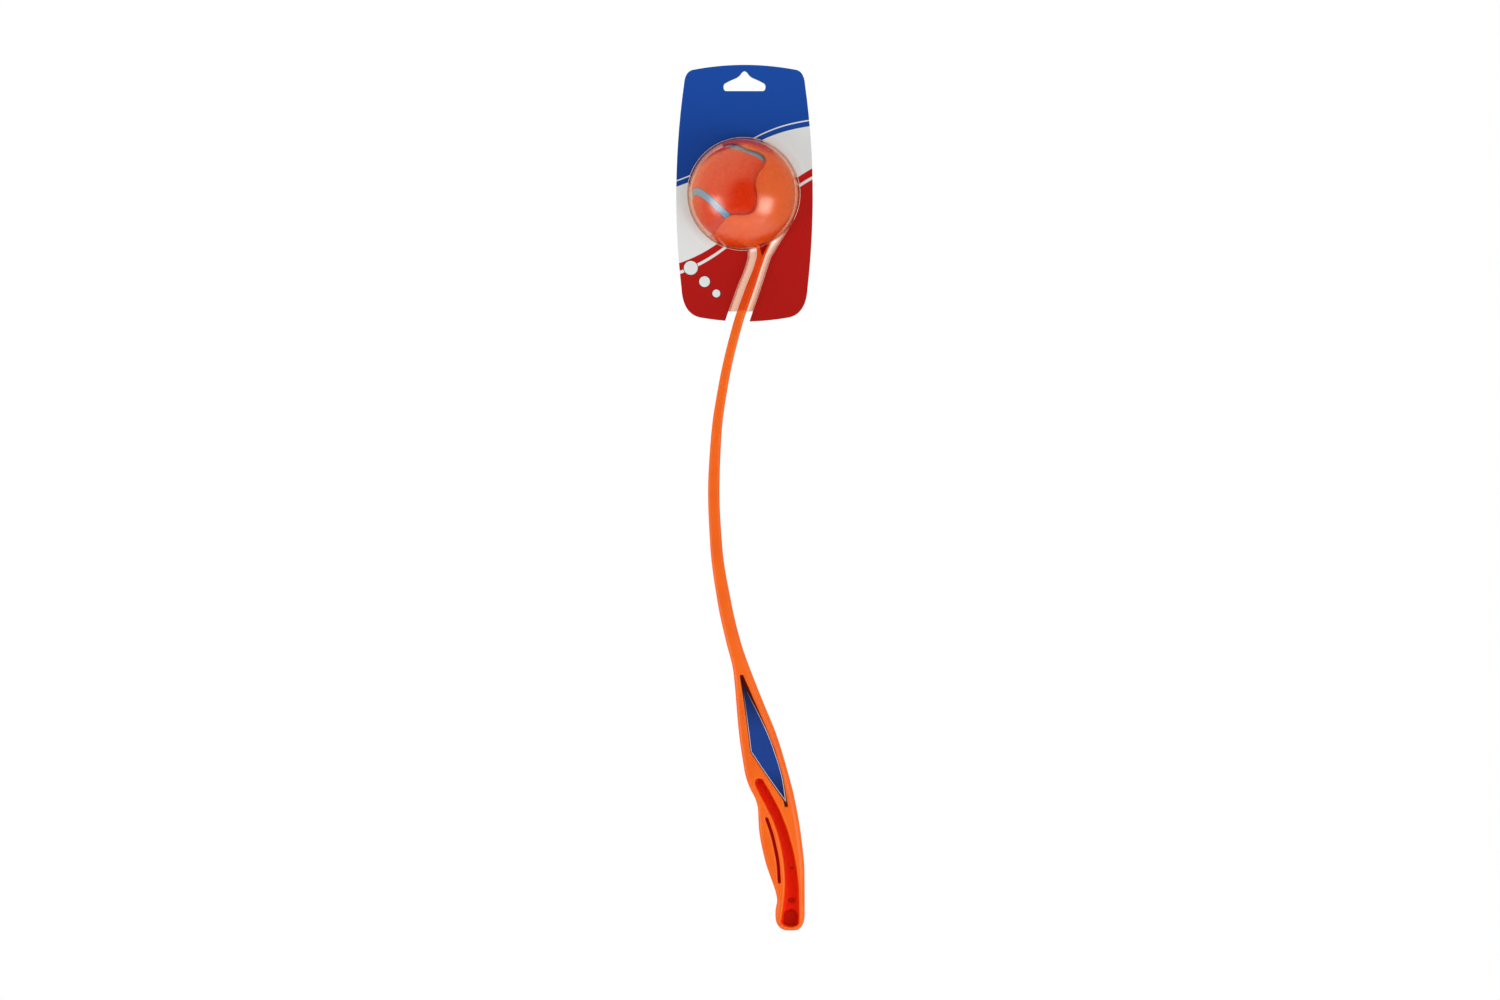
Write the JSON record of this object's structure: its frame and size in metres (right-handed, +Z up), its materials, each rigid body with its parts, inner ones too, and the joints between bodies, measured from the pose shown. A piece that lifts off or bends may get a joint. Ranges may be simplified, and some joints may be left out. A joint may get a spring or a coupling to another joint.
{
  "type": "dog ball thrower",
  "caption": "Long moulded dog ball thrower with a cup that grips a felt ball, held in a clear blister between hanging cards.",
  "frame": {"origin": "top middle of the hanging slot, in the mid-plane of the cards and of the moulding", "axes": "+Z up as it hangs, -Y out of the front of the card, +X to the right seen from the front"},
  "size_m": [0.1042, 0.086, 0.6605],
  "materials": {
    "arm_plastic": "satin orange moulding",
    "label_film": "glossy printed film",
    "core_rubber": "matte black rubber",
    "orange_felt": "napped orange felt",
    "seam_rubber": "matte pale blue rubber",
    "printed_card": "gloss-varnished printed board",
    "clear_blister": "clear formed sheet"
  },
  "bodies": {
    "packed_thrower": {"thrower_arm": "arm_plastic", "handle_label": "label_film", "card_front": "printed_card", "card_rear": "printed_card", "blister_front": "clear_blister", "blister_rear": "clear_blister"},
    "ball": {"ball_core_half_a": "core_rubber", "ball_core_half_b": "core_rubber", "felt_panel_a": "orange_felt", "felt_panel_b": "orange_felt", "ball_seam": "seam_rubber"}
  },
  "joints": [
    {"name": "ball_spin", "type": "hinge", "parent": "packed_thrower", "child": "ball", "pos_m": [-0.0023, 0, -0.0935], "axis": [0, 1, 0], "continuous": true}
  ]
}
